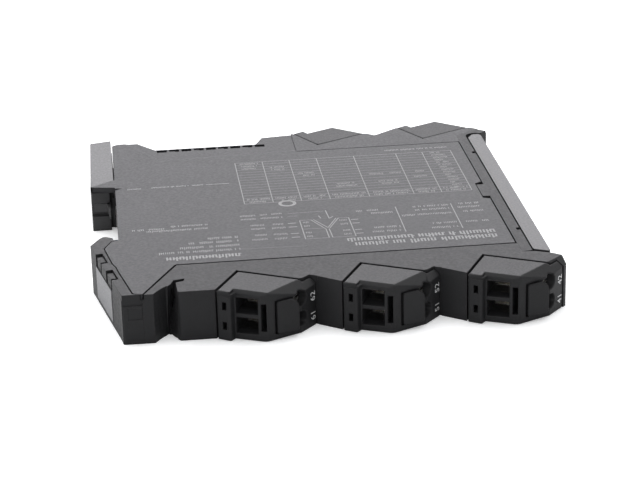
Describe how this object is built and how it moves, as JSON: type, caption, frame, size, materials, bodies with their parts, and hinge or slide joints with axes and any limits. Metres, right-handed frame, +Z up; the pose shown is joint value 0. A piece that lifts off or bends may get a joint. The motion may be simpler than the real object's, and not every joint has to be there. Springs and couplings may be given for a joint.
{
  "type": "signal converter",
  "caption": "Slim rail-mounting signal converter lying on its side, with pluggable screw terminals along both edges, a hinged front cover and a sprung rail latch.",
  "frame": {"origin": "On the surface below the middle of the module, which lies on its flat side", "axes": "+X to the front with the hinged cover, +Y from the near row of three terminal plugs to the far row of two, +Z up across the narrow width of the module"},
  "size_m": [0.1136, 0.1192, 0.0125],
  "materials": {
    "case": "fine spark-eroded dark grey moulding",
    "plug": "black glass-filled moulding",
    "light_plastic": "satin light grey moulding",
    "plated_steel": "bright zinc plating",
    "spring_steel": "spring strip",
    "contact": "tinned copper alloy",
    "board": "solder resist",
    "core": "ferrite and tape",
    "can": "sleeved can",
    "chip": "moulded package",
    "diode": "tinted resin",
    "clear_rod": "clear moulding",
    "header": "moulded header with tinned pins"
  },
  "bodies": {
    "housing": {"housing_shell": "case", "side_cover": "case", "front_frame": "case", "foot_block": "case", "foot_insert": "light_plastic", "latch_spring": "spring_steel", "circuit_board": "board", "transformer": "core", "capacitors": "can", "chips": "chip", "status_led": "diode", "light_pipe": "clear_rod", "pin_headers": "header", "plug_body_a": "plug", "plug_body_b": "plug", "plug_body_c": "plug", "plug_body_d": "plug", "plug_body_e": "plug", "plug_contacts_a": "contact", "plug_contacts_b": "contact", "plug_contacts_c": "contact", "plug_contacts_d": "contact", "plug_contacts_e": "contact"},
    "front_flap": {"front_flap": "light_plastic"},
    "rail_latch": {"rail_latch": "light_plastic"},
    "lever_a": {"plug_lever_a": "plug"},
    "screw_lower_a": {"clamp_screw_lower_a": "plated_steel"},
    "cage_lower_a": {"clamp_cage_lower_a": "plated_steel"},
    "screw_upper_a": {"clamp_screw_upper_a": "plated_steel"},
    "cage_upper_a": {"clamp_cage_upper_a": "plated_steel"},
    "lever_b": {"plug_lever_b": "plug"},
    "screw_lower_b": {"clamp_screw_lower_b": "plated_steel"},
    "cage_lower_b": {"clamp_cage_lower_b": "plated_steel"},
    "screw_upper_b": {"clamp_screw_upper_b": "plated_steel"},
    "cage_upper_b": {"clamp_cage_upper_b": "plated_steel"},
    "lever_c": {"plug_lever_c": "plug"},
    "screw_lower_c": {"clamp_screw_lower_c": "plated_steel"},
    "cage_lower_c": {"clamp_cage_lower_c": "plated_steel"},
    "screw_upper_c": {"clamp_screw_upper_c": "plated_steel"},
    "cage_upper_c": {"clamp_cage_upper_c": "plated_steel"},
    "lever_d": {"plug_lever_d": "plug"},
    "screw_lower_d": {"clamp_screw_lower_d": "plated_steel"},
    "cage_lower_d": {"clamp_cage_lower_d": "plated_steel"},
    "screw_upper_d": {"clamp_screw_upper_d": "plated_steel"},
    "cage_upper_d": {"clamp_cage_upper_d": "plated_steel"},
    "lever_e": {"plug_lever_e": "plug"},
    "screw_lower_e": {"clamp_screw_lower_e": "plated_steel"},
    "cage_lower_e": {"clamp_cage_lower_e": "plated_steel"},
    "screw_upper_e": {"clamp_screw_upper_e": "plated_steel"},
    "cage_upper_e": {"clamp_cage_upper_e": "plated_steel"}
  },
  "joints": [
    {"name": "front_flap_hinge", "type": "hinge", "parent": "housing", "child": "front_flap", "pos_m": [0.05245, 0.044, 0.00625], "axis": [0, 0, 1], "range_deg": [0, 100]},
    {"name": "rail_latch_slide", "type": "slide", "parent": "housing", "child": "rail_latch", "axis": [0, 1, 0], "range_m": [0, 0.0035], "stiffness_N_per_m": 600, "springref_m": -0.004},
    {"name": "lever_a_hinge", "type": "hinge", "parent": "housing", "child": "lever_a", "pos_m": [-0.01377, -0.05751, 0.0057], "axis": [0, 0, -1], "range_deg": [0, 22]},
    {"name": "screw_lower_a_turn", "type": "hinge", "parent": "housing", "child": "screw_lower_a", "pos_m": [-0.01009, -0.0542, 0.00375], "axis": [-0.8829, 0.4695, 0], "range_deg": [0, 1800]},
    {"name": "cage_lower_a_rise", "type": "slide", "parent": "housing", "child": "cage_lower_a", "axis": [0.8829, -0.4695, 0], "range_m": [0, 0.0025]},
    {"name": "screw_upper_a_turn", "type": "hinge", "parent": "housing", "child": "screw_upper_a", "pos_m": [-0.01009, -0.0542, 0.00875], "axis": [-0.8829, 0.4695, 0], "range_deg": [0, 1800]},
    {"name": "cage_upper_a_rise", "type": "slide", "parent": "housing", "child": "cage_upper_a", "axis": [0.8829, -0.4695, 0], "range_m": [0, 0.0025]},
    {"name": "lever_b_hinge", "type": "hinge", "parent": "housing", "child": "lever_b", "pos_m": [0.0161, -0.05751, 0.0057], "axis": [0, 0, -1], "range_deg": [0, 22]},
    {"name": "screw_lower_b_turn", "type": "hinge", "parent": "housing", "child": "screw_lower_b", "pos_m": [0.01978, -0.0542, 0.00375], "axis": [-0.8829, 0.4695, 0], "range_deg": [0, 1800]},
    {"name": "cage_lower_b_rise", "type": "slide", "parent": "housing", "child": "cage_lower_b", "axis": [0.8829, -0.4695, 0], "range_m": [0, 0.0025]},
    {"name": "screw_upper_b_turn", "type": "hinge", "parent": "housing", "child": "screw_upper_b", "pos_m": [0.01978, -0.0542, 0.00875], "axis": [-0.8829, 0.4695, 0], "range_deg": [0, 1800]},
    {"name": "cage_upper_b_rise", "type": "slide", "parent": "housing", "child": "cage_upper_b", "axis": [0.8829, -0.4695, 0], "range_m": [0, 0.0025]},
    {"name": "lever_c_hinge", "type": "hinge", "parent": "housing", "child": "lever_c", "pos_m": [0.04597, -0.05751, 0.0057], "axis": [0, 0, -1], "range_deg": [0, 22]},
    {"name": "screw_lower_c_turn", "type": "hinge", "parent": "housing", "child": "screw_lower_c", "pos_m": [0.04965, -0.0542, 0.00375], "axis": [-0.8829, 0.4695, 0], "range_deg": [0, 1800]},
    {"name": "cage_lower_c_rise", "type": "slide", "parent": "housing", "child": "cage_lower_c", "axis": [0.8829, -0.4695, 0], "range_m": [0, 0.0025]},
    {"name": "screw_upper_c_turn", "type": "hinge", "parent": "housing", "child": "screw_upper_c", "pos_m": [0.04965, -0.0542, 0.00875], "axis": [-0.8829, 0.4695, 0], "range_deg": [0, 1800]},
    {"name": "cage_upper_c_rise", "type": "slide", "parent": "housing", "child": "cage_upper_c", "axis": [0.8829, -0.4695, 0], "range_m": [0, 0.0025]},
    {"name": "lever_d_hinge", "type": "hinge", "parent": "housing", "child": "lever_d", "pos_m": [0.0161, 0.05751, 0.0057], "axis": [0, 0, 1], "range_deg": [0, 22]},
    {"name": "screw_lower_d_turn", "type": "hinge", "parent": "housing", "child": "screw_lower_d", "pos_m": [0.01978, 0.0542, 0.00375], "axis": [-0.8829, -0.4695, 0], "range_deg": [0, 1800]},
    {"name": "cage_lower_d_rise", "type": "slide", "parent": "housing", "child": "cage_lower_d", "axis": [0.8829, 0.4695, 0], "range_m": [0, 0.0025]},
    {"name": "screw_upper_d_turn", "type": "hinge", "parent": "housing", "child": "screw_upper_d", "pos_m": [0.01978, 0.0542, 0.00875], "axis": [-0.8829, -0.4695, 0], "range_deg": [0, 1800]},
    {"name": "cage_upper_d_rise", "type": "slide", "parent": "housing", "child": "cage_upper_d", "axis": [0.8829, 0.4695, 0], "range_m": [0, 0.0025]},
    {"name": "lever_e_hinge", "type": "hinge", "parent": "housing", "child": "lever_e", "pos_m": [0.04597, 0.05751, 0.0057], "axis": [0, 0, 1], "range_deg": [0, 22]},
    {"name": "screw_lower_e_turn", "type": "hinge", "parent": "housing", "child": "screw_lower_e", "pos_m": [0.04965, 0.0542, 0.00375], "axis": [-0.8829, -0.4695, 0], "range_deg": [0, 1800]},
    {"name": "cage_lower_e_rise", "type": "slide", "parent": "housing", "child": "cage_lower_e", "axis": [0.8829, 0.4695, 0], "range_m": [0, 0.0025]},
    {"name": "screw_upper_e_turn", "type": "hinge", "parent": "housing", "child": "screw_upper_e", "pos_m": [0.04965, 0.0542, 0.00875], "axis": [-0.8829, -0.4695, 0], "range_deg": [0, 1800]},
    {"name": "cage_upper_e_rise", "type": "slide", "parent": "housing", "child": "cage_upper_e", "axis": [0.8829, 0.4695, 0], "range_m": [0, 0.0025]}
  ],
  "couplings": [
    {"joint": "screw_lower_a_turn", "follows": "cage_lower_a_rise", "rad_per_m": 12566},
    {"joint": "screw_upper_a_turn", "follows": "cage_upper_a_rise", "rad_per_m": 12566},
    {"joint": "screw_lower_b_turn", "follows": "cage_lower_b_rise", "rad_per_m": 12566},
    {"joint": "screw_upper_b_turn", "follows": "cage_upper_b_rise", "rad_per_m": 12566},
    {"joint": "screw_lower_c_turn", "follows": "cage_lower_c_rise", "rad_per_m": 12566},
    {"joint": "screw_upper_c_turn", "follows": "cage_upper_c_rise", "rad_per_m": 12566},
    {"joint": "screw_lower_d_turn", "follows": "cage_lower_d_rise", "rad_per_m": 12566},
    {"joint": "screw_upper_d_turn", "follows": "cage_upper_d_rise", "rad_per_m": 12566},
    {"joint": "screw_lower_e_turn", "follows": "cage_lower_e_rise", "rad_per_m": 12566},
    {"joint": "screw_upper_e_turn", "follows": "cage_upper_e_rise", "rad_per_m": 12566}
  ]
}
